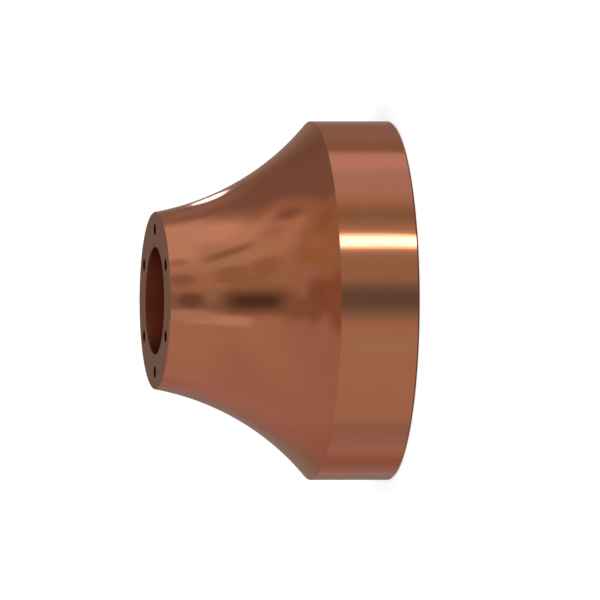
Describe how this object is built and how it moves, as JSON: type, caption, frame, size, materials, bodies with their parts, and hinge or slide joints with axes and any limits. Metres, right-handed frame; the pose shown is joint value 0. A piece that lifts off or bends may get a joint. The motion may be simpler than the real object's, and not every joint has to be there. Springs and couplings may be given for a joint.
{
  "type": "plasma gouging shield",
  "caption": "Flared copper nose cap for a plasma torch, with a central orifice, a ring of gas vents and a threaded skirt.",
  "frame": {"origin": "centre of the flat back rim, on the shield's axis", "axes": "+Z along the axis from the back rim to the nose face; +X runs through one vent of the ring"},
  "size_m": [0.0302, 0.0302, 0.02],
  "materials": {
    "copper": "turned bright copper with fine tool lines"
  },
  "bodies": {
    "root": {"shield": "copper"}
  },
  "joints": []
}
